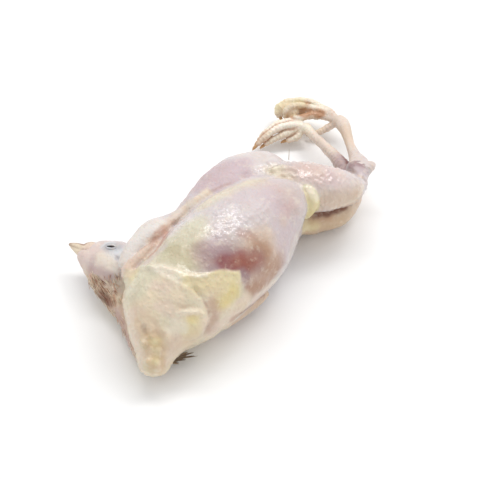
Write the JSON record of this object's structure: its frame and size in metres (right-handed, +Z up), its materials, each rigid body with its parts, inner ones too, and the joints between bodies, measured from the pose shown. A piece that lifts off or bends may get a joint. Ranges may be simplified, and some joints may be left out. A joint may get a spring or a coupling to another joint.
{
  "type": "whole quail",
  "caption": "Whole raw plucked quail with its head, wings and feet on, lying on its right side and back with the legs folded to the rear, as it comes for cooking.",
  "frame": {"origin": "on the resting surface under the middle of the trunk, on the flat spot that the bird lies on", "axes": "+Y along the trunk from the crop to the tail, +Z up, +X to the belly side"},
  "size_m": [0.0871, 0.1477, 0.0394],
  "materials": {
    "skin": "moist pale skin, cream on the crop and lavender on the breast and legs",
    "horn": "satin horn of the bill and the claws",
    "eye": "wet and dark, half shut",
    "feather": "matt brown pin feathers and stubs"
  },
  "bodies": {
    "root": {"quail": "skin"}
  },
  "joints": []
}
